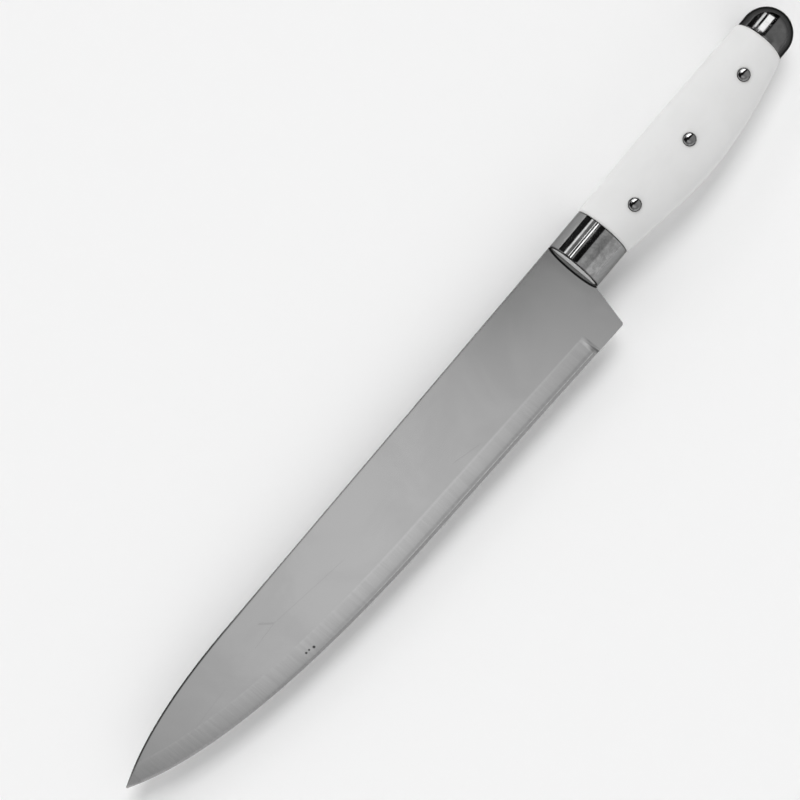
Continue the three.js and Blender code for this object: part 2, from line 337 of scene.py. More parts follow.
class Graph:
    """Adds and joins the nodes of one shader tree."""

    def __init__(self, tree: Tree) -> None:
        """Starts with an empty tree."""
        self.tree = tree
        tree.nodes.clear()

    def feed(self, target: Socket, value: object) -> None:
        """Gives an input its value.

        Args:
            target: The input.
            value: The socket that it is linked to, or its own value.
        """
        if isinstance(value, Socket):
            self.tree.links.new(value, target)
        else:
            target.default_value = value

    def node(self, kind: str, inputs: dict | None = None, **options: object) -> bpy.types.Node:
        """A new node.

        Args:
            kind: The node's type name, without its ShaderNode prefix.
            inputs: Values or source sockets, by the name or number of the input.
            options: The node's own settings.

        Returns:
            The node.
        """
        made = self.tree.nodes.new("ShaderNode" + kind)
        for name, value in options.items():
            setattr(made, name, value)
        for key, value in (inputs or {}).items():
            self.feed(made.inputs[key], value)
        return made

    def math(self, operation: str, *terms: Value) -> Socket:
        """One sum on values."""
        return self.node("Math", dict(enumerate(terms)), operation=operation).outputs[0]

    def times(self, *terms: Value) -> Socket:
        """Product of two or more values."""
        return reduce(lambda product, term: self.math("MULTIPLY", product, term), terms)

    def gap(self, first: Value, second: Value) -> Socket:
        """Distance between two values."""
        return self.math("ABSOLUTE", self.math("SUBTRACT", first, second))

    def vector(self, operation: str, *terms: object) -> Socket:
        """One sum on vectors."""
        return self.node("VectorMath", dict(enumerate(terms)), operation=operation).outputs[0]

    def scaled(self, place: Socket, *factors: Value) -> Socket:
        """A place with each of its coordinates multiplied."""
        pitch = self.node("CombineXYZ", dict(enumerate(factors)))
        return self.vector("MULTIPLY", place, pitch.outputs[0])

    def ease(self, value: Value, low: Value, high: Value) -> Socket:
        """Soft rise from 0 at low to 1 at high."""
        ends = {"Value": value, "From Min": low, "From Max": high}
        return self.node("MapRange", ends, interpolation_type="SMOOTHSTEP").outputs[0]

    def fade(self, value: Value, low: Value, high: Value) -> Socket:
        """Soft fall from 1 at low to 0 at high."""
        return self.ease(value, high, low)

    def span(self, value: Value, low: float, high: float) -> Socket:
        """Spreads a value from 0 to 1 over the span from low to high."""
        return self.node("MapRange", {"Value": value, "To Min": low, "To Max": high}).outputs[0]

    def mix(self, share: Value, first: Value, second: Value) -> Socket:
        """Blend of two values."""
        return self.node("Mix", {0: share, 2: first, 3: second}).outputs[0]

    def tint(self, share: Value, first: Paint, second: Paint) -> Socket:
        """Blend of two colours."""
        return self.node("Mix", {0: share, 6: first, 7: second}, data_type="RGBA").outputs[2]

    def coat(self, colour: Paint, layers: list[tuple[Value, float | Paint]]) -> Socket:
        """Colours laid over one another.

        Args:
            colour: The lowest colour.
            layers: Masks and their colours from below to above, a grey one by its level.

        Returns:
            The colour of them all.
        """
        for mask, over in layers:
            colour = self.tint(mask, colour, grey(over) if isinstance(over, float) else over)
        return colour


class Effects:
    """Surface effects that several finishes share, each as one node group."""

    def __init__(self) -> None:
        """Builds the groups."""
        self.lines = self._lines()
        self.clouds = self._clouds()
        self.scratches = self._scratches()
        self.specks = self._specks()

    @staticmethod
    def _group(name: str, values: dict[str, float]) -> tuple[Graph, dict[str, Socket]]:
        """An empty group with a place input, more inputs and one mask output.

        Args:
            name: The group's name.
            values: The other inputs and their first values.

        Returns:
            The group's graph, and its input sockets by name.
        """
        tree = bpy.data.node_groups.new(name, "ShaderNodeTree")
        tree.interface.new_socket("Place", in_out="INPUT", socket_type="NodeSocketVector")
        for label, value in values.items():
            made = tree.interface.new_socket(label, in_out="INPUT", socket_type="NodeSocketFloat")
            made.default_value = value
        tree.interface.new_socket("Mask", in_out="OUTPUT", socket_type="NodeSocketFloat")
        graph = Graph(tree)
        entry = tree.nodes.new("NodeGroupInput")
        return graph, {socket.name: socket for socket in entry.outputs if socket.name}

    @staticmethod
    def _close(graph: Graph, mask: Socket) -> Tree:
        """Joins a group's result to its output."""
        graph.feed(graph.tree.nodes.new("NodeGroupOutput").inputs["Mask"], mask)
        return graph.tree

    def _lines(self) -> Tree:
        """Fine parallel lines left by a wheel or a polishing belt.

        Returns:
            The group.
        """
        pitch = {"Per Metre X": 3000.0, "Per Metre Y": 100.0, "Per Metre Z": 100.0}
        graph, entry = self._group("fine_lines", pitch)
        place = graph.scaled(entry["Place"], *[entry[name] for name in pitch])
        noise = graph.node("TexNoise", {"Vector": place, "Scale": 1.0, "Detail": 3.0,
                                        "Roughness": 0.65})
        return self._close(graph, graph.ease(noise.outputs["Fac"], 0.25, 0.75))

    def _clouds(self) -> Tree:
        """Broad soft patches: handling marks, mottled polish and uneven moulding.

        Returns:
            The group.
        """
        graph, entry = self._group("soft_clouds", {"Per Metre": 80.0, "Sharpness": 0.2})
        noise = graph.node("TexNoise", {"Vector": entry["Place"], "Scale": entry["Per Metre"],
                                        "Detail": 4.0, "Roughness": 0.55, "Distortion": 0.5})
        low = graph.math("SUBTRACT", 0.5, graph.times(entry["Sharpness"], 0.5))
        high = graph.math("SUBTRACT", 1.0, low)
        return self._close(graph, graph.ease(noise.outputs["Fac"], low, high))

    def _scratches(self) -> Tree:
        """Sparse thin scratches that cross at slight angles.

        Returns:
            The group.
        """
        values = {"Per Metre": 150.0, "Stretch": 6.0, "Width": 0.01, "Share": 0.35}
        graph, entry = self._group("stray_scratches", values)
        pitch = entry["Per Metre"]
        squeeze = graph.math("DIVIDE", pitch, entry["Stretch"])
        place = graph.scaled(entry["Place"], squeeze, pitch, pitch)
        cells = graph.node("TexVoronoi", {"Vector": place, "Scale": 1.0},
                           feature="DISTANCE_TO_EDGE")
        hair = graph.math("LESS_THAN", cells.outputs["Distance"], entry["Width"])
        patch = graph.node("TexNoise", {"Vector": place, "Scale": 0.8, "Detail": 2.0})
        kept = graph.math("LESS_THAN", patch.outputs["Fac"], entry["Share"])
        return self._close(graph, graph.times(hair, kept))

    def _specks(self) -> Tree:
        """Tiny round specks, scattered and of uneven size.

        Returns:
            The group.
        """
        graph, entry = self._group("specks", {"Per Metre": 200.0, "Size": 0.1, "Share": 0.2})
        cells = graph.node("TexVoronoi", {"Vector": entry["Place"], "Scale": entry["Per Metre"]})
        pick = graph.node("SeparateColor", {0: cells.outputs["Color"]})
        width = graph.times(entry["Size"], pick.outputs["Green"])
        near = graph.math("LESS_THAN", cells.outputs["Distance"], width)
        kept = graph.math("LESS_THAN", pick.outputs["Red"], entry["Share"])
        return self._close(graph, graph.times(near, kept))


class Finish:
    """A new material with its surface shader, and the means to add shared effects to it."""

    def __init__(self, name: str) -> None:
        """Starts the material with a Principled shader and the frame's coordinates.

        Args:
            name: The material's name.
        """
        self.material = bpy.data.materials.new(name)
        self.material.use_nodes = True
        self.graph = Graph(self.material.node_tree)
        self.shader = self.graph.node("BsdfPrincipled")
        self.graph.node("OutputMaterial", {"Surface": self.shader.outputs[0]})
        self.place = self.graph.node("TexCoord").outputs["Object"]

    def _set(self, node: bpy.types.Node, values: dict[str, object]) -> None:
        """Feeds a node's inputs, named with underscores for spaces."""
        for key, value in values.items():
            self.graph.feed(node.inputs[key.replace("_", " ")], value)

    def effect(self, group: Tree, **values: Value) -> Socket:
        """Places a shared effect.

        Args:
            group: The effect's node group.
            values: Its inputs, with underscores for spaces.

        Returns:
            The effect's mask.
        """
        made = self.graph.node("Group", node_tree=group)
        self._set(made, {"Place": self.place, **values})
        return made.outputs["Mask"]

    def attribute(self, name: str) -> Socket:
        """A value that the mesh carries."""
        return self.graph.node("Attribute", attribute_name=name).outputs["Fac"]

    def surface(self, **values: object) -> None:
        """Feeds the shader's inputs, with underscores for spaces in their names."""
        self._set(self.shader, values)

    def relief(self, height: Socket, depth: float) -> None:
        """Raises the surface by a height mask times a depth in metres."""
        bump = self.graph.node("Bump", {"Height": height, "Distance": depth})
        self.surface(Normal=bump.outputs[0])


@dataclass(frozen=True)
class BladeSteel:
    """Stainless sheet: polished flats, a belt-ground bevel and a honed edge.

    A level is how bright the metal is, and a share how strongly a mark covers what lies below. Some
    marks are painted light: highlights along the bevel's top and the honed shoulder, a dark
    reflection along the spine, and the ferrule's reflection beside it.
    """

    flat_level: float = 0.42
    flat_swing: float = 0.05
    bevel_level: float = 0.46
    bevel_swing: float = 0.04
    crest_highlight_level: float = 0.53
    crest_highlight_share: float = 0.38
    honed_level: float = 0.48
    honed_tip_level: float = 0.35
    honed_dots: Point = (0.0, 0.3)
    bevel_dark_line_dots: Point = (0.15, 0.4)
    burr_level: float = 0.85
    mark_level: float = 0.2
    mark_share: float = 0.75
    mark_streaks: Point = (0.3, 0.6)
    speck_level: float = 0.1
    speck_share: float = 0.7
    pit_level: float = 0.04
    painted_spine_shading_level: float = 0.1
    painted_spine_shading_shares: Point = (0.15, 1.0)
    painted_mirror_level: float = 0.24
    painted_mirror_shade_share: float = 0.2
    painted_mirror_rim_level: float = 0.01
    roughness: float = 0.15
    roughness_swing: float = 0.02
    bevel_roughness: float = 0.2
    scratch_roughness: float = 0.06
    flat_line_share: float = 0.12
    scratch_share: float = 0.3
    line_depth: float = 0.002 * MM

    def material(self, effects: Effects, blade: "Blade") -> Material:
        """The finish of the blade.

        Args:
            effects: The shared effects.
            blade: The blade, for the sizes of its grind.

        Returns:
            The material.
        """
        finish = Finish("blade_steel")
        graph = finish.graph
        above = finish.attribute(Blade.LEVEL)
        reach = finish.attribute(Blade.REACH)
        crest = blade.bevel_width - blade.shoulder
        ground = graph.ease(reach, blade.plunge_start, blade.plunge_end)
        bevel = graph.times(graph.fade(above, crest, blade.bevel_width + blade.shoulder), ground)
        heelward = graph.times(graph.fade(reach, *blade.crest_fade), ground)

        lines = finish.effect(effects.lines, Per_Metre_X=2600, Per_Metre_Y=60, Per_Metre_Z=60)
        streaks = finish.effect(effects.lines, Per_Metre_X=900, Per_Metre_Y=45, Per_Metre_Z=45)
        dots = finish.effect(effects.lines, Per_Metre_X=1300, Per_Metre_Y=900, Per_Metre_Z=60)
        clouds = finish.effect(effects.clouds, Per_Metre=35, Sharpness=0.3)
        scratches = finish.effect(effects.scratches, Per_Metre=90, Stretch=7, Width=0.006,
                                  Share=0.4)
        specks = finish.effect(effects.specks, Per_Metre=110, Size=0.035, Share=0.03)

        def stripe(middle: float, width: float, share: Value) -> Socket:
            """Mask of a soft line along the edge that fades out towards the tip."""
            return graph.times(graph.fade(graph.gap(above, middle), 0.0, width), heelward, share)

        flat = graph.tint(clouds, *around(self.flat_level, self.flat_swing))
        belt = graph.tint(streaks, *around(self.bevel_level, self.bevel_swing))
        hone_end = graph.ease(reach, *blade.hone_fade)
        edge = graph.tint(hone_end, grey(self.honed_level), grey(self.honed_tip_level))
        marks = graph.times(
            graph.ease(reach, blade.plunge_start - blade.mark_lead, blade.plunge_start),
            graph.fade(reach, *[blade.plunge_start + end for end in blade.mark_ends]),
            graph.fade(above, blade.bevel_width - blade.mark_drop, blade.bevel_width),
            graph.ease(streaks, *self.mark_streaks),
            self.mark_share,
        )
        # Painted shade: a dark reflection painted along the spine, faint at the heel and full
        # towards the tip.
        back = graph.times(
            graph.fade(finish.attribute(Blade.DEPTH), blade.cut_spine / 2, blade.cut_spine),
            graph.span(graph.ease(reach, *blade.spine_dark), *self.painted_spine_shading_shares),
            graph.fade(reach, *blade.spine_clear),
        )
        pits = []
        for pit_reach, pit_above, radius in blade.pits:
            along, across = graph.gap(reach, pit_reach), graph.gap(above, pit_above)
            square = graph.math("ADD", graph.times(along, along), graph.times(across, across))
            off = graph.math("SQRT", square)
            pits.append((graph.fade(off, radius / 2, radius), self.pit_level))
        # Painted reflection: the ferrule's mirror image drawn on the blade, with painted shade
        # ahead of it.
        ahead = self._painted_ferrule_image(finish, reach, blade)
        beside = graph.math("ABSOLUTE", ahead)
        painted_mirror_shade = graph.times(graph.fade(ahead, 0.0, blade.mirror_fade), self.painted_mirror_shade_share)
        bevel_dark_line = graph.span(dots, *self.bevel_dark_line_dots)
        colour = graph.coat(flat, [
            (bevel, belt),
            # Painted highlight along the top of the bevel.
            (stripe(crest, 2 * blade.shoulder, self.crest_highlight_share), self.crest_highlight_level),
            # A darker line along the lower part of the bevel.
            (stripe(blade.bevel_dark_line, blade.bevel_dark_line_width, bevel_dark_line), self.mark_level),
            (graph.times(graph.math("LESS_THAN", above, blade.honed_width), ground),
             graph.tint(graph.span(dots, *self.honed_dots), edge, grey(self.mark_level))),
            # Painted highlight along the shoulder of the honed band.
            (stripe(blade.honed_width + blade.burr, blade.burr, dots), self.burr_level),
            (marks, self.mark_level),
            (graph.times(specks, self.speck_share), self.speck_level),
            (back, self.painted_spine_shading_level),
            *pits,
            # Painted reflection of the ferrule, its painted shade ahead and a dark line at its
            # edge.
            (painted_mirror_shade, self.painted_mirror_level),
            (graph.fade(ahead, 0.0, blade.mirror_line), self.painted_mirror_level),
            (graph.fade(beside, blade.mirror_line / 2, blade.mirror_line), self.painted_mirror_rim_level),
        ])

        rough = graph.span(clouds, self.roughness, self.roughness + self.roughness_swing)
        rough = graph.mix(bevel, rough, self.bevel_roughness)
        rough = graph.math("ADD", rough, graph.times(scratches, self.scratch_roughness))
        faint = graph.times(lines, self.flat_line_share)
        ridges = graph.mix(bevel, faint, graph.math("ADD", lines, streaks))
        height = graph.math("SUBTRACT", ridges, graph.times(scratches, self.scratch_share))
        finish.relief(height, self.line_depth)
        finish.surface(Base_Color=colour, Metallic=1.0, Roughness=rough)
        return finish.material

    @staticmethod
    def _painted_ferrule_image(finish: Finish, reach: Socket, blade: "Blade") -> Socket:
        """Distance ahead of the ferrule's painted mirror image, an arc that is deepest on the axis.

        The image is a painted reflection, drawn in the metal's colour as the photograph shows it.
        It is no real reflection, and stays where it is in other views.

        Args:
            finish: The blade's finish.
            reach: Distance forward of the ferrule.
            blade: The blade, for the sizes of the arc.

        Returns:
            The distance, below 0 within the arc.
        """
        graph = finish.graph
        place = graph.node("SeparateXYZ", {0: finish.place})
        height = graph.math("SUBTRACT", place.outputs["Y"], datum().y)
        share = graph.math("DIVIDE", height, blade.top)
        inner = graph.math("MAXIMUM", graph.math("SUBTRACT", 1.0, graph.times(share, share)), 0.0)
        front = graph.times(graph.math("SQRT", inner), blade.mirror_reach)
        return graph.math("SUBTRACT", reach, front)


@dataclass(frozen=True)
class BrightSteel:
    """Drawn and buffed stainless steel, a little uneven and lightly scratched.

    Its colour falls to the rim shade share where the surface turns away from the viewer, a painted
    shade.
    """

    DARK_RIM = "dark_rim"

    name: str
    level: float
    edge_level: float
    rim_shade_share: float
    swing: float = 0.02
    blotch_share: float = 0.5
    dark_rim_level: float = 0.05
    speck_share: float = 0.4
    rim_shade_blend: float = 0.5
    rim_shade_span: Point = (0.24, 0.42)
    roughness: float = 0.07
    roughness_swing: float = 0.07
    scratch_roughness: float = 0.12
    line_share: float = 0.03
    scratch_share: float = 0.05
    ripple_depth: float = 0.02 * MM

    def material(self, effects: Effects) -> Material:
        """The finish of a polished fitting.

        Args:
            effects: The shared effects.

        Returns:
            The material.
        """
        finish = Finish(self.name)
        graph = finish.graph
        clouds = finish.effect(effects.clouds, Per_Metre=160, Sharpness=0.25)
        mottle = finish.effect(effects.clouds, Per_Metre=600, Sharpness=0.4)
        ripple = finish.effect(effects.clouds, Per_Metre=420, Sharpness=0.0)
        lines = finish.effect(effects.lines, Per_Metre_X=5000, Per_Metre_Y=250, Per_Metre_Z=250)
        scratches = finish.effect(effects.scratches, Per_Metre=420, Stretch=4, Width=0.012,
                                  Share=0.42)
        specks = finish.effect(effects.specks, Per_Metre=900, Size=0.12, Share=0.05)
        facing = graph.node("LayerWeight", {"Blend": self.rim_shade_blend}).outputs["Facing"]

        blotches = graph.mix(self.blotch_share, clouds, mottle)
        buffed = graph.tint(blotches, grey(self.level - self.swing), grey(self.level + self.swing))
        colour = graph.coat(buffed, [
            (graph.times(specks, self.speck_share), self.level / 2),
            # Painted shade: darker where the surface turns away from the viewer.
            (graph.ease(facing, *self.rim_shade_span), self.level * self.rim_shade_share),
            # Painted shade on the rounding of the ferrule's front rim; its rear end is darker too.
            (finish.attribute(self.DARK_RIM), self.dark_rim_level),
        ])
        rough = graph.span(clouds, self.roughness, self.roughness + self.roughness_swing)
        rough = graph.math("ADD", rough, graph.times(scratches, self.scratch_roughness))
        height = graph.math("ADD", ripple, graph.times(lines, self.line_share))
        height = graph.math("SUBTRACT", height, graph.times(scratches, self.scratch_share))
        finish.relief(height, self.ripple_depth)
        finish.surface(Base_Color=colour, Metallic=1.0, Roughness=rough,
                       Specular_Tint=grey(self.edge_level))
        return finish.material


FERRULE_STEEL = BrightSteel("ferrule_steel", level=0.33, edge_level=0.6, rim_shade_share=0.85, swing=0.09,
                            roughness=0.05, roughness_swing=0.05)
# The cap and the rivets are darker copies of the same steel: painted shade that dims their
# reflections.
CAP_SHADED_STEEL = BrightSteel("cap_shaded_steel", level=0.15, edge_level=0.3, rim_shade_share=0.42)
RIVET_SHADED_STEEL = BrightSteel("rivet_shaded_steel", level=0.23, edge_level=0.4, rim_shade_share=0.5,
                          roughness=0.03, roughness_swing=0.03)


@dataclass(frozen=True)
class WhitePlastic:
    """White moulded plastic with a fine satin texture."""

    colour: Colour = (0.75, 0.75, 0.747, 1.0)
    shade: Colour = (0.73, 0.73, 0.726, 1.0)
    stain_and_shade: Colour = (0.5, 0.495, 0.48, 1.0)
    stain_and_shade_shares: Point = (0.25, 0.6)
    speck_share: float = 0.35
    specular: float = 0.3
    roughness: float = 0.46
    roughness_swing: float = 0.1
    scratch_roughness: float = 0.12
    scratch_share: float = 0.5
    texture_depth: float = 0.012 * MM

    def material(self, effects: Effects) -> Material:
        """The finish of the grip.

        Args:
            effects: The shared effects.

        Returns:
            The material.
        """
        finish = Finish("white_plastic")
        graph = finish.graph
        clouds = finish.effect(effects.clouds, Per_Metre=70, Sharpness=0.3)
        pebble = finish.effect(effects.clouds, Per_Metre=2600, Sharpness=0.0)
        scratches = finish.effect(effects.scratches, Per_Metre=220, Stretch=5, Width=0.006,
                                  Share=0.36)
        specks = finish.effect(effects.specks, Per_Metre=240, Size=0.05, Share=0.05)

        # Grime and painted shade: the plastic darkens near the joint lines and round the rivets,
        # patchily.
        stain_and_shade_mask = graph.times(finish.attribute(Grip.CORNER), graph.span(clouds, *self.stain_and_shade_shares))
        colour = graph.coat(graph.tint(clouds, self.shade, self.colour), [
            (stain_and_shade_mask, self.stain_and_shade),
            (graph.times(specks, self.speck_share), self.stain_and_shade),
        ])
        rough = graph.span(clouds, self.roughness, self.roughness + self.roughness_swing)
        rough = graph.math("ADD", rough, graph.times(scratches, self.scratch_roughness))
        height = graph.math("SUBTRACT", pebble, graph.times(scratches, self.scratch_share))
        finish.relief(height, self.texture_depth)
        finish.surface(Base_Color=colour, Roughness=rough, Specular_IOR_Level=self.specular)
        return finish.material


# Pieces of the knife


class SubAssembly:
    """Pieces of the knife that belong together and share one finish."""

    def build(self) -> list[Object]:
        """Makes the pieces, in their place in the frame."""
        raise NotImplementedError

    def dress(self, pieces: list[Object], material: Material) -> None:
        """Gives the pieces their finish.

        Args:
            pieces: The pieces that were built.
            material: The finish.
        """
        for piece in pieces:
            piece.data.materials.append(material)
            log.info("%s is dressed in %s", piece.name, material.name)


@dataclass
class Tang:
    """The blade's hidden part, from which the pocket that it lies in is made too."""

    end: float
    middle: float = -2.1 * MM
    front_height: float = 13 * MM
    rear_height: float = 9 * MM
    root: float = 7 * MM
    corner: float = 3 * MM
    thickness: float = 1.7 * MM
    arc_steps: int = 10

    def solid(self, name: str, margin: float, root: float) -> Mesh:
        """The tang's plate, grown by a margin all round.

        Args:
            name: The mesh's name.
            margin: How much larger than the tang it is on each side.
            root: How far it reaches forward of the datum.

        Returns:
            The plate's mesh.
        """
        front = self.front_height / 2 + margin
        rear = self.rear_height / 2 + margin
        end = self.end + margin
        half = [(-root, front), (0.0, front)]
        for out, up in reversed(quarter_round(self.corner, self.corner, self.arc_steps)):
            half.append((end - self.corner + out, rear - self.corner + up))
        outline = [(x, self.middle + y) for x, y in half]
        outline += [(x, self.middle - y) for x, y in reversed(half)]
        face = (self.thickness + 2 * margin) / 2
        return loft(name, [np.array([(x, y, z) for x, y in outline]) for z in (-face, face)])


@dataclass
class Blade(SubAssembly):
    """The stamped and ground blade, one piece with its tang.

    A reach is a distance forward of the ferrule, and a level a height above the edge. The sizes
    from burr to pits place marks of the finish, painted highlights and the painted reflections of
    the ferrule and along the spine among them: a pair is where a change along the blade starts and
    where it is complete, and each pit is its reach, its level and its radius.
    """

    LEVEL = "edge_height"
    REACH = "reach"
    DEPTH = "spine_depth"

    tang: Tang
    rivets: list["Rivet"]
    length: float = 228.6 * MM
    thickness: float = 2 * MM
    top: float = 10.4 * MM
    spine_rise: float = 0.9 * MM
    spine_sweep: float = 62 * MM
    spine_fullness: float = 0.64
    spine_ease: float = 0.4 * MM
    heel_depth: float = 35.5 * MM
    heel_reach: float = 3.8 * MM
    heel_setback: float = 0.4 * MM
    heel_radius: float = 0.9 * MM
    edge_rise: float = 3.1 * MM
    edge_sweep: float = 129 * MM
    edge_fullness: float = 0.725
    edge_thickness: float = 0.16 * MM
    tip_drop: float = 8 * MM
    tip_blunt: float = 0.5 * MM
    plunge_start: float = 15.6 * MM
    plunge_length: float = 2.4 * MM
    bevel_width: float = 7.5 * MM
    bevel_bulge: float = 0.07 * MM
    shoulder: float = 0.4 * MM
    honed_width: float = 1 * MM
    honed_thickness: float = 0.8 * MM
    honed_shoulder: float = 0.08 * MM
    bevel_share: float = 0.8
    honed_share: float = 0.4
    shoulder_share: float = 0.25
    ease_share: float = 0.12
    burr: float = 0.16 * MM
    mirror_reach: float = 1.47 * MM
    mirror_line: float = 0.46 * MM
    mirror_fade: float = 5 * MM
    crest_fade: Point = (90 * MM, 170 * MM)
    bevel_dark_line: float = 1.95 * MM
    bevel_dark_line_width: float = 0.8 * MM
    cut_spine: float = 0.9 * MM
    spine_dark: Point = (135 * MM, 185 * MM)
    spine_clear: Point = (219 * MM, 225 * MM)
    hone_fade: Point = (188 * MM, 216 * MM)
    mark_lead: float = 0.5 * MM
    mark_ends: Point = (1.2 * MM, 2.4 * MM)
    mark_drop: float = 3.5 * MM
    pits: tuple[tuple[float, float, float], ...] = (
        (152.4 * MM, 3.1 * MM, 0.6 * MM),
        (154.2 * MM, 3.5 * MM, 0.42 * MM),
        (155.6 * MM, 3.4 * MM, 0.5 * MM),
    )
    heel_rings: int = 16
    unground_rings: int = 4
    plunge_rings: int = 24
    straight_rings: int = 24
    curved_rings: int = 48
    tip_rings: int = 90
    tip_crowding: float = 1.6
    round_steps: int = 4
    bevel_steps: int = 10
    spine_bend: Bend = field(init=False)
    edge_bend: Bend = field(init=False)
    heel_bend: Bend = field(init=False)

    def __post_init__(self) -> None:
        """Lays out the curves of the outline."""
        tip = self.top - self.tip_drop
        self.spine_bend = self._sweep(self.spine_line, self.spine_sweep, self.spine_fullness,
                                      tip + self.tip_blunt / 2)
        self.edge_bend = self._sweep(self.edge_line, self.edge_sweep, self.edge_fullness,
                                     tip - self.tip_blunt / 2)
        foot = Vector((self.heel_setback, -self.top))
        corner = Vector((self.heel_reach, self.heel_edge))
        start = corner + (foot - corner).normalized() * self.heel_radius
        end = self.heel_reach + self.heel_radius
        self.heel_bend = Bend(tuple(start), tuple(corner), (end, self.edge_line(end)))

    @property
    def heel_edge(self) -> float:
        """Height of the heel's corner."""
        return self.top - self.heel_depth

    @property
    def plunge_end(self) -> float:
        """Reach from which the bevel is fully ground."""
        return self.plunge_start + self.plunge_length

    def spine_line(self, reach: float) -> float:
        """Height of the spine's straight run."""
        return self.top + self.spine_rise * reach / (self.length - self.spine_sweep)

    def edge_line(self, reach: float) -> float:
        """Height of the edge's straight run."""
        run = self.length - self.edge_sweep - self.heel_reach
        return self.heel_edge + self.edge_rise * (reach - self.heel_reach) / run

    def _sweep(self, line: Callable[[float], float], sweep: float, fullness: float,
               end: float) -> Bend:
        """The curve that carries a straight run on to the tip.

        Args:
            line: The straight run's height at a reach.
            sweep: Length of the curve along the blade.
            fullness: Share of that length at which the curve's corner lies.
            end: Height at the tip.

        Returns:
            The curve.
        """
        run = self.length - sweep
        turn = run + sweep * fullness
        return Bend((run, line(run)), (turn, line(turn)), (self.length, end))

    def spine_at(self, reach: float) -> float:
        """Height of the spine."""
        straight = reach < self.spine_bend.start[0]
        return self.spine_line(reach) if straight else self.spine_bend.height_at(reach)

    def edge_at(self, reach: float) -> float:
        """Height of the edge, or of the heel's slanted line behind it.

        Args:
            reach: Distance forward of the ferrule.

        Returns:
            The height above the datum.
        """
        start, end = self.heel_bend.start, self.heel_bend.end
        if reach <= self.heel_setback:
            return -self.top
        if reach < start[0]:
            share = (reach - self.heel_setback) / (start[0] - self.heel_setback)
            return lerp(-self.top, start[1], share)
        if reach < end[0]:
            return self.heel_bend.height_at(reach)
        straight = reach < self.edge_bend.start[0]
        return self.edge_line(reach) if straight else self.edge_bend.height_at(reach)

    def ground_half(self, level: float) -> float:
        """Half the thickness of the ground blade, whose bevel is a little rounded.

        Args:
            level: Height above the edge.

        Returns:
            The distance from the middle plane to the face.
        """
        if level < self.honed_width:
            return lerp(self.edge_thickness, self.honed_thickness, level / self.honed_width) / 2
        share = min(1.0, (level - self.honed_width) / (self.bevel_width - self.honed_width))
        swell = 4 * self.bevel_bulge * share * (1 - share)
        return lerp(self.honed_thickness / 2, self.thickness / 2, share) + swell

    def section(self, reach: float) -> np.ndarray:
        """One ring of the blade, from the spine down the left face and up the right one.

        Args:
            reach: Distance forward of the ferrule.

        Returns:
            The ring's points.
        """
        foot = self.edge_at(reach)
        height = self.spine_at(reach) - foot
        grind = smoothstep(reach, self.plunge_start, self.plunge_end)
        ease = min(self.spine_ease, height * self.ease_share)
        bevel = min(self.bevel_width, height * self.bevel_share)
        honed = min(self.honed_width, height * self.honed_share)
        turn = min(self.honed_shoulder, honed * self.shoulder_share)
        shares = [i / self.bevel_steps for i in range(self.bevel_steps + 1)]
        levels = [*[lerp(bevel, honed + turn, share) for share in shares], honed - turn, 0.0]
        full = self.thickness / 2
        crown = lerp(full, self.ground_half(height - ease), grind)
        side = [(height - ease + up, crown - ease + out)
                for out, up in reversed(quarter_round(ease, ease, self.round_steps))]
        side += [(level, lerp(full, self.ground_half(level), grind)) for level in levels]
        left = [(-reach, foot + level, half) for level, half in side]
        right = [(-reach, foot + level, -half) for level, half in reversed(side)]
        return np.array(left + right)

    def stations(self) -> list[float]:
        """Places of the rings, close together where the outline or the grind turns.

        Returns:
            The rings' reaches.
        """
        heel_start, heel_end = self.heel_bend.start[0], self.heel_bend.end[0]
        edge_run = self.edge_bend.start[0]
        spine_run = self.spine_bend.start[0]
        shares = spread(0.0, 1.0, self.tip_rings)
        closing = [1 - (1 - share) ** self.tip_crowding for share in shares]
        return [
            SEAT_GAP,
            self.heel_setback,
            *spread(heel_start, heel_end, self.heel_rings),
            *spread(heel_end, self.plunge_start, self.unground_rings),
            *spread(self.plunge_start, self.plunge_end, self.plunge_rings),
            *spread(self.plunge_end, edge_run, self.straight_rings),
            *spread(edge_run, spine_run, self.curved_rings),
            *[lerp(spine_run, self.length, share) for share in closing],
            self.length,
        ]

    def build(self) -> list[Object]:
        """Makes the blade with its tang, which is drilled for the rivets.

        Returns:
            The piece.
        """
        rings = [self.section(reach) for reach in reversed(self.stations())]
        tang = self.tang.solid("tang", 0.0, self.tang.root)
        mesh = worked(loft("blade_body", rings), [tang], Cut.JOIN)
        mesh = worked(mesh, [rivet.drill(Side.LEFT) for rivet in self.rivets], Cut.TAKE)
        piece = placed("blade_body", mesh, "blade")
        origin = datum()
        reaches = [origin.x - vertex.co.x for vertex in mesh.vertices]
        heights = [vertex.co.y - origin.y for vertex in mesh.vertices]
        store(mesh, self.REACH, reaches)
        store(mesh, self.LEVEL, [y - self.edge_at(reach) for y, reach in zip(heights, reaches)])
        store(mesh, self.DEPTH, [self.spine_at(reach) - y for y, reach in zip(heights, reaches)])
        return [piece]


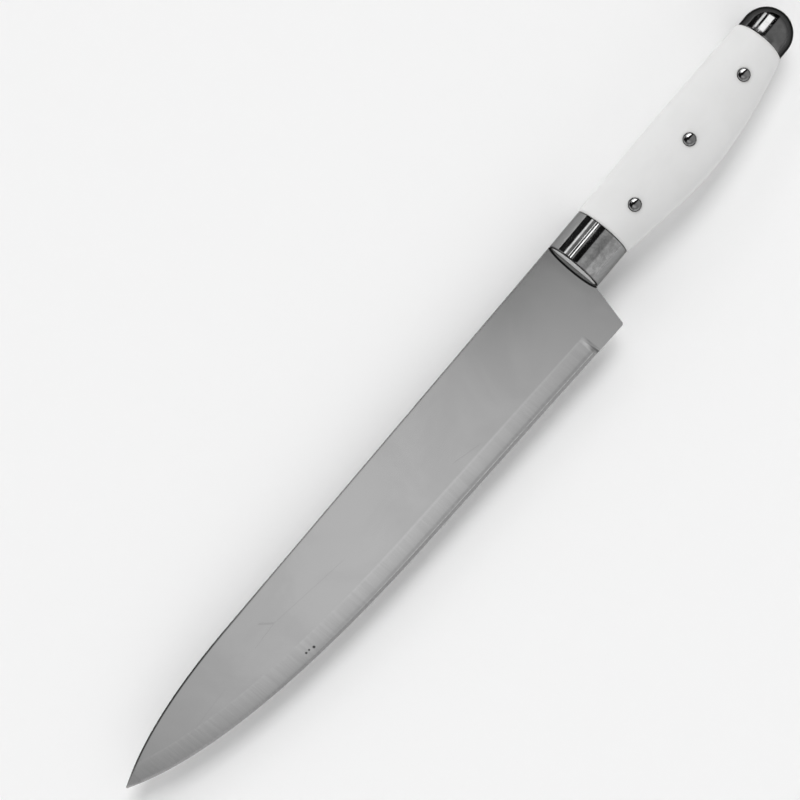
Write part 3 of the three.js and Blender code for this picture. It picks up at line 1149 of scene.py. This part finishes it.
@dataclass
class Ferrule(SubAssembly):
    """The oval steel sleeve round the grip's front."""

    wall: float = 0.8 * MM
    rim_radius: float = 0.5 * MM
    edge_ease: float = 0.1 * MM
    front_dark_rim: Point = (0.25 * MM, 0.65 * MM)
    rear_dark_rim: Point = (0.1 * MM, 0.35 * MM)
    sides: int = 192
    stations: int = 10
    rim_steps: int = 8

    def build(self) -> list[Object]:
        """Makes the ferrule.

        Returns:
            The piece.
        """
        low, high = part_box("ferrule")
        size = high - low
        ease = self.edge_ease
        rear = size.x - self.rear_dark_rim[1]
        rim = quarter_round(self.rim_radius, self.rim_radius, self.rim_steps)
        insets = [(self.rim_radius - out, self.rim_radius - up) for out, up in rim]
        insets.append((self.front_dark_rim[1], 0.0))
        insets += [(x, 0.0) for x in spread(self.rim_radius, rear, self.stations)[1:]]
        insets += [(rear, 0.0), (size.x - ease, 0.0), (size.x, ease), (size.x, self.wall)]
        insets += [(ease, self.wall), (0.0, self.wall - ease)]
        rings = [oval(x, size.y / 2 - inset, size.z / 2 - inset, self.sides) for x, inset in insets]
        mesh = loft("ferrule_sleeve", rings, looped=True)
        piece = placed("ferrule_sleeve", mesh, "ferrule")
        # Painted shade on the front rim's rounding, and darker at the rear end.
        dark_rim = []
        for vertex in mesh.vertices:
            ahead = smoothstep(vertex.co.x - low.x, *self.front_dark_rim)
            dark_rim.append(1 - min(ahead, smoothstep(high.x - vertex.co.x, *self.rear_dark_rim)))
        store(mesh, BrightSteel.DARK_RIM, dark_rim)
        return [piece]


@dataclass
class EndCap(SubAssembly):
    """The drawn domed cap on the butt."""

    rise: float = 0.7 * MM
    skirt: float = 4.2 * MM
    wall: float = 0.8 * MM
    rim_length: float = 1.9 * MM
    rim_drop: float = 0.25 * MM
    rim_steps: int = 12
    sides: int = 160
    dome_steps: int = 40

    def build(self) -> list[Object]:
        """Makes the cap.

        Returns:
            The piece.
        """
        low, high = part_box("end_cap")
        size = high - low
        radius = size.y / 2
        bore = radius - self.wall
        dome = size.x - self.skirt
        hollow = quarter_round(bore, dome - self.wall, self.dome_steps)
        shell = quarter_round(radius, dome, self.dome_steps)
        inside = [(out, self.skirt + up) for out, up in hollow]
        outside = [(out, self.skirt + up) for out, up in shell]
        turn = quarter_round(self.rim_drop, self.rim_length, self.rim_steps)
        rim = [(radius - self.rim_drop + out, self.rim_length - up) for out, up in reversed(turn)]
        profile = [*reversed(inside), (bore, 0.0), *rim, *outside]
        mesh = turned("butt_cap", profile, self.sides)
        mesh.transform(Matrix.Rotation(math.pi / 2, 4, "Y"))
        mesh.transform(Matrix.Diagonal((1.0, 1.0, size.z / size.y, 1.0)))
        mesh.transform(Matrix.Translation((low.x - datum().x, self.rise, 0.0)))
        return [placed("butt_cap", mesh, "end_cap")]


@dataclass
class Rivet(SubAssembly):
    """A two-piece rivet: a post pressed into a socket, each with a domed head."""

    name: str
    head_rim: float = 0.5 * MM
    head_dome: float = 1 * MM
    head_power: float = 2.4
    seat_depth: float = 0.7 * MM
    socket_radius: float = 1.6 * MM
    socket_wall: float = 0.4 * MM
    socket_floor: float = 3 * MM
    drill_overrun: float = 2 * MM
    sides: int = 72
    head_steps: int = 18
    place: Vector = field(init=False)
    head_radius: float = field(init=False)
    seat: float = field(init=False)

    def __post_init__(self) -> None:
        """Takes the place and the head's size from the frame."""
        low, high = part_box(f"rivet_post_{self.name}")
        self.place = Vector(((low.x + high.x) / 2, (low.y + high.y) / 2, datum().z)) - datum()
        self.head_radius = (high.x - low.x) / 2
        self.seat = high.z - datum().z - self.head_dome - self.head_rim - SEAT_GAP

    def _turned(self, name: str, profile: list[Point], side: Side) -> Mesh:
        """A turned solid at the rivet's place.

        Args:
            name: The mesh's name.
            profile: Its (radius, height) pairs, with the height counted towards the head.
            side: The side that the head looks to.

        Returns:
            The solid's mesh.
        """
        mesh = turned(name, profile, self.sides)
        turn = 0.0 if side is Side.LEFT else math.pi
        mesh.transform(Matrix.Translation(self.place) @ Matrix.Rotation(turn, 4, "X"))
        return mesh

    def drill(self, side: Side) -> Mesh:
        """Solid of the shank's bore and of the flat seat of one head.

        Args:
            side: The side of the head.

        Returns:
            The solid's mesh.
        """
        bore = self.socket_radius + FIT_GAP
        face = self.head_radius + FIT_GAP
        clear = self.seat + self.seat_depth + self.head_rim + self.head_dome
        foot = -self.drill_overrun
        profile = [(0.0, foot), (bore, foot), (bore, self.seat)]
        profile += [(face, self.seat), (face, clear), (0.0, clear)]
        return self._turned("drill", profile, side)

    def build(self) -> list[Object]:
        """Makes the post and the socket.

        Returns:
            Both pieces.
        """
        foot = self.seat + SEAT_GAP
        dome = quarter_round(self.head_radius, self.head_dome, self.head_steps, self.head_power)
        head = [(self.head_radius, foot), *[(out, foot + self.head_rim + up) for out, up in dome]]
        bore = self.socket_radius - self.socket_wall
        shank = bore - FIT_GAP
        floor = self.seat - self.socket_floor
        end = self.socket_floor + FIT_GAP - self.seat
        post = [(0.0, end), (shank, end), (shank, foot), *head]
        socket = [(0.0, floor), (bore, floor), (bore, -self.seat), (self.socket_radius, -self.seat),
                  (self.socket_radius, foot), *head]
        pieces = []
        for kind, profile, side in (("post", post, Side.LEFT), ("socket", socket, Side.RIGHT)):
            mesh = self._turned(f"{self.name}_rivet_{kind}", profile, side)
            pieces.append(placed(mesh.name, mesh, f"rivet_{kind}_{self.name}"))
        return pieces


@dataclass(frozen=True)
class GripSection:
    """A rounded section across the grip."""

    middle: float
    half_height: float
    half_width: float
    power: float = 2.0

    def inset(self, amount: float) -> "GripSection":
        """The section drawn in by an amount all round."""
        height, width = self.half_height - amount, self.half_width - amount
        return GripSection(self.middle, height, width, self.power)


@dataclass
class Grip(SubAssembly):
    """The two moulded scales that close round the tang."""

    CORNER = "corner"

    rivets: list[Rivet]
    tang: Tang
    ferrule: Ferrule
    cap: EndCap
    tenon_round: float = 0.7 * MM
    depth: float = 15 * MM
    fullest: float = 38.6 * MM
    front_fullness: float = 0.74
    rear_fullness: float = 0.53
    spine_crown: float = 0.5 * MM
    side_swell: float = 0.6 * MM
    squareness: float = 0.35
    proud_of_ferrule: float = 0.17 * MM
    proud_of_cap: float = 0.37 * MM
    rim_ease: float = 0.25 * MM
    parting_ease: float = 0.16 * MM
    parting_clear: float = 1.05
    stain_and_shade_reach: float = 1.2 * MM
    half_sides: int = 84
    stations: int = 110
    round_steps: int = 4
    nose_steps: int = 8
    front: float = field(init=False)
    rear: float = field(init=False)
    ferrule_half: Vector = field(init=False)
    cap_half: Vector = field(init=False)

    def __post_init__(self) -> None:
        """Takes the grip's ends from its neighbours in the frame."""
        ferrule_low, ferrule_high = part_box("ferrule")
        cap_low, cap_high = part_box("end_cap")
        self.ferrule_half = (ferrule_high - ferrule_low) / 2
        self.cap_half = (cap_high - cap_low) / 2
        self.front = ferrule_high.x - ferrule_low.x + SEAT_GAP
        self.rear = cap_low.x - ferrule_low.x - SEAT_GAP

    def _belly(self, x: float) -> float:
        """Depth of the belly below the datum.

        Args:
            x: Place along the knife.

        Returns:
            The depth.
        """
        peak = self.front + self.fullest
        if x < peak:
            start = (self.front, self.ferrule_half.y + self.proud_of_ferrule)
            corner = lerp(self.front, peak, self.front_fullness)
        else:
            start = (self.rear, self.cap_half.y + self.proud_of_cap - self.cap.rise)
            corner = lerp(self.rear, peak, self.rear_fullness)
        return Bend(start, (corner, self.depth), (peak, self.depth)).height_at(x)

    def section(self, x: float) -> GripSection:
        """Section of the grip, an oval at both ends that squares off and swells in between.

        Args:
            x: Place along the knife.

        Returns:
            The section.
        """
        share = (x - self.front) / (self.rear - self.front)
        arch = math.sin(math.pi * share)
        front, rear = self.ferrule_half, self.cap_half
        rear_top = rear.y + self.proud_of_cap + self.cap.rise
        top = lerp(front.y + self.proud_of_ferrule, rear_top, share) + self.spine_crown * arch
        bottom = self._belly(x)
        width = lerp(front.z + self.proud_of_ferrule, rear.z + self.proud_of_cap, share)
        width += self.side_swell * arch
        power = 2 + self.squareness * arch
        return GripSection((top - bottom) / 2, (top + bottom) / 2, width, power)

    def _half_ring(self, x: float, section: GripSection, side: Side) -> np.ndarray:
        """One side's half of a section, eased where it meets the parting plane.

        Args:
            x: Place along the knife.
            section: The whole section.
            side: The half that is wanted.

        Returns:
            The half ring's points.
        """
        ease = self.parting_ease
        angles = np.linspace(0, math.pi, self.half_sides + 1)
        bulge = 2 / section.power
        across = section.half_width * np.abs(np.sin(angles)) ** bulge
        cosines = np.cos(angles)
        up = section.half_height * np.sign(cosines) * np.abs(cosines) ** bulge
        outer = across > self.parting_clear * ease
        bends = quarter_round(ease, ease, self.round_steps)[:-1]
        bend_across = [ease - value for value, _ in bends]
        bend_up = [section.half_height - ease + value for _, value in bends]
        across = np.concatenate([bend_across, across[outer], bend_across[::-1]])
        up = np.concatenate([bend_up, up[outer], [-value for value in bend_up[::-1]]])
        ring = np.stack([np.full(len(up), x), section.middle + up, across * side.value], axis=1)
        return ring if side is Side.LEFT else ring[::-1]

    def _blank(self, name: str, side: Side) -> Mesh:
        """One scale before it is pocketed and drilled, with its tenon and spigot.

        Args:
            name: The mesh's name.
            side: The scale's side.

        Returns:
            The scale's mesh.
        """
        butt = self.cap_half
        bore = self.ferrule.wall + FIT_GAP
        tenon = GripSection(0.0, self.ferrule_half.y - bore, self.ferrule_half.z - bore)
        inner = butt.y - self.cap.wall
        spigot = GripSection(self.cap.rise, inner - FIT_GAP, inner * butt.z / butt.y - FIT_GAP)
        first, last = self.front + self.rim_ease, self.rear - self.rim_ease
        nose = quarter_round(self.tenon_round, self.tenon_round, self.nose_steps)
        rounding = quarter_round(self.rim_ease, self.rim_ease, self.round_steps)
        runs = [(self.tenon_round - out, tenon.inset(self.tenon_round - up)) for out, up in nose]
        runs.append((self.front, tenon))
        for out, up in rounding[::-1]:
            runs.append((first - up, self.section(first).inset(self.rim_ease - out)))
        runs += [(x, self.section(x)) for x in spread(first, last, self.stations)[1:]]
        for out, up in rounding:
            runs.append((last + up, self.section(last).inset(self.rim_ease - out)))
        runs += [(self.rear, spigot), (self.rear + self.cap.skirt, spigot)]
        return loft(name, [self._half_ring(x, section, side) for x, section in runs])

    def build(self) -> list[Object]:
        """Makes both scales, with the pocket for the tang and the rivets' bores and seats.

        Returns:
            Both pieces.
        """
        pocket = self.tang.solid("pocket", FIT_GAP, SEAT_GAP)
        pieces = []
        for side in Side:
            label = side.name.lower()
            name = f"{label}_grip_scale"
            drills = [rivet.drill(side) for rivet in self.rivets]
            mesh = worked(self._blank(name, side), [pocket, *drills], Cut.TAKE)
            piece = placed(name, mesh, f"{label}_scale")
            self._measure(piece.data)
            pieces.append(piece)
        return pieces

    def _measure(self, mesh: Mesh) -> None:
        """Stores how near each vertex lies to a joint line or a rivet, from 0 to 1.

        Args:
            mesh: A scale's mesh, in its place.
        """
        origin = datum()
        values = []
        for vertex in mesh.vertices:
            at = vertex.co - origin
            gaps = [abs(at.x - self.front), abs(at.x - self.rear)]
            for rivet in self.rivets:
                off = math.hypot(at.x - rivet.place.x, at.y - rivet.place.y)
                gaps.append(off - rivet.head_radius)
            values.append(1 - smoothstep(min(gaps), 0.0, self.stain_and_shade_reach))
        store(mesh, self.CORNER, values)


# Studio


@dataclass(frozen=True)
class Panel:
    """A soft-edged patch of the surroundings: a light, a card or a wall.

    Angles are in degrees. They are twice the lean of a mirror on the butt that shows the patch to
    the camera: across is its lean from straight up towards the spine, along its lean to the butt.
    """

    across: Point
    along: Point
    soft: float
    strength: float

    def mask(self, graph: Graph, across: Socket, along: Socket) -> Socket:
        """Where the patch lies.

        Args:
            graph: The surroundings' graph.
            across: The lean towards the spine, in radians.
            along: The lean to the butt, in radians.

        Returns:
            1 within the patch and 0 outside it, with soft borders.
        """
        half = math.radians(self.soft)
        sides = []
        for lean, ends in ((across, self.across), (along, self.along)):
            low, high = (math.radians(end) for end in ends)
            rise = graph.ease(lean, low - half, low + half)
            sides.append(graph.times(rise, graph.fade(lean, high - half, high + half)))
        return graph.times(*sides)


@dataclass
class Studio:
    """Floor, surroundings and camera."""

    floor_level: float = 0.95
    floor_reach: float = 20.0
    wall: float = 0.5
    horizon: float = 0.95
    horizon_rise: Point = (0.5, 1.5)
    butt_sight: tuple[float, float, float] = (-0.3, 0.0, 0.954)
    camera_height: float = 516.7 * MM
    camera_turn: float = math.radians(-50)
    camera_lens: float = 69.75
    aim: Point = (-71.02 * MM, 15.67 * MM)
    panels: tuple[Panel, ...] = (
        Panel(across=(-95, -44), along=(-107, -3.5), soft=8, strength=1.0),
        Panel(across=(-95, 95), along=(-2.5, 73), soft=6, strength=0.66),
        Panel(across=(-95, -26), along=(-107, -45), soft=8, strength=1.3),
        Panel(across=(-95, 95), along=(-107, -58), soft=5, strength=1.3),
        Panel(across=(-18.5, 14), along=(-31.5, -12.5), soft=8, strength=1.1),
        Panel(across=(-30, 12), along=(-80, -40), soft=5, strength=0.45),
        Panel(across=(5, 95), along=(-52, 73), soft=2, strength=0.025),
        Panel(across=(5, 60), along=(-66, -40), soft=2, strength=0.025),
        Panel(across=(60, 95), along=(-107, -19), soft=3, strength=1.25),
        Panel(across=(-95, -42), along=(-15.5, -3.5), soft=4, strength=0.82),
        Panel(across=(-0.2, 18.5), along=(-13.5, 73), soft=0.8, strength=0.012),
        Panel(across=(20, 25.3), along=(-15.5, -3.5), soft=1, strength=0.42),
        Panel(across=(28.2, 31.6), along=(-15.5, -3.5), soft=0.8, strength=4.5),
        Panel(across=(38.2, 40.2), along=(-15.5, -3.5), soft=0.6, strength=3.2),
        Panel(across=(42, 53), along=(-15.5, -3.5), soft=1, strength=0.33),
        Panel(across=(53, 61), along=(-15.5, -3.5), soft=1, strength=1.85),
        Panel(across=(14, 39), along=(-3.5, 45), soft=1, strength=6.0),
        Panel(across=(49.5, 60), along=(-3.5, 44), soft=1, strength=4.4),
    )

    def floor(self) -> None:
        """A plain pale floor that the knife lies on."""
        reach = self.floor_reach
        mesh = bpy.data.meshes.new("floor")
        signs = ((-1, -1), (1, -1), (1, 1), (-1, 1))
        mesh.from_pydata([(x * reach, y * reach, 0.0) for x, y in signs], [], [[0, 1, 2, 3]])
        finish = Finish("pale_floor")
        finish.surface(Base_Color=grey(self.floor_level), Roughness=1.0, Specular_IOR_Level=0.0)
        mesh.materials.append(finish.material)
        new_object("floor", mesh)

    def surroundings(self) -> None:
        """The studio round the knife, as light by direction."""
        world = bpy.data.worlds.new("studio")
        bpy.context.scene.world = world
        world.use_nodes = True
        graph = Graph(world.node_tree)
        direction = graph.node("TexCoord").outputs["Generated"]
        mirror = graph.vector("NORMALIZE", graph.vector("ADD", direction, self.butt_sight))
        lean = graph.node("SeparateXYZ", {0: mirror}).outputs
        across, along = (graph.times(graph.math("ARCSINE", lean[axis]), 2.0) for axis in "YX")
        light = self.wall
        for panel in self.panels:
            light = graph.mix(panel.mask(graph, across, along), light, panel.strength)
        height = graph.node("SeparateXYZ", {0: direction}).outputs["Z"]
        low, high = (math.sin(math.radians(angle)) for angle in self.horizon_rise)
        light = graph.mix(graph.fade(height, low, high), light, self.horizon)
        colour = graph.node("CombineColor", {0: light, 1: light, 2: light})
        backdrop = graph.node("Background", {"Color": colour.outputs[0]})
        graph.node("OutputWorld", {"Surface": backdrop.outputs[0]})

    def camera(self) -> None:
        """The camera, straight above the knife and turned to the photograph's diagonal."""
        data = bpy.data.cameras.new("camera")
        data.lens = self.camera_lens
        made = bpy.data.objects.new("camera", data)
        bpy.context.scene.collection.objects.link(made)
        made.location = datum() + Vector((*self.aim, self.camera_height))
        made.rotation_euler = (0.0, 0.0, self.camera_turn)
        bpy.context.scene.camera = made

    def build(self) -> None:
        """Sets up the whole studio."""
        self.floor()
        self.surroundings()
        self.camera()
        bpy.context.scene.view_settings.view_transform = "Standard"


def main() -> None:
    """Builds and dresses the knife, then sets up the studio."""
    logging.basicConfig(level=logging.INFO, format="%(name)s: %(message)s")
    effects = Effects()
    tang = Tang(end=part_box("blade")[1].x - datum().x)
    rivets = [Rivet(name) for name in ("front", "middle", "rear")]
    blade, ferrule, cap = Blade(tang, rivets), Ferrule(), EndCap()
    rivet_shaded_steel = RIVET_SHADED_STEEL.material(effects)
    parts = [
        (blade, BladeSteel().material(effects, blade)),
        (ferrule, FERRULE_STEEL.material(effects)),
        (cap, CAP_SHADED_STEEL.material(effects)),
        (Grip(rivets, tang, ferrule, cap), WhitePlastic().material(effects)),
        *[(rivet, rivet_shaded_steel) for rivet in rivets],
    ]
    for part, material in parts:
        part.dress(part.build(), material)
    Studio().build()


if __name__ == "__main__":
    main()
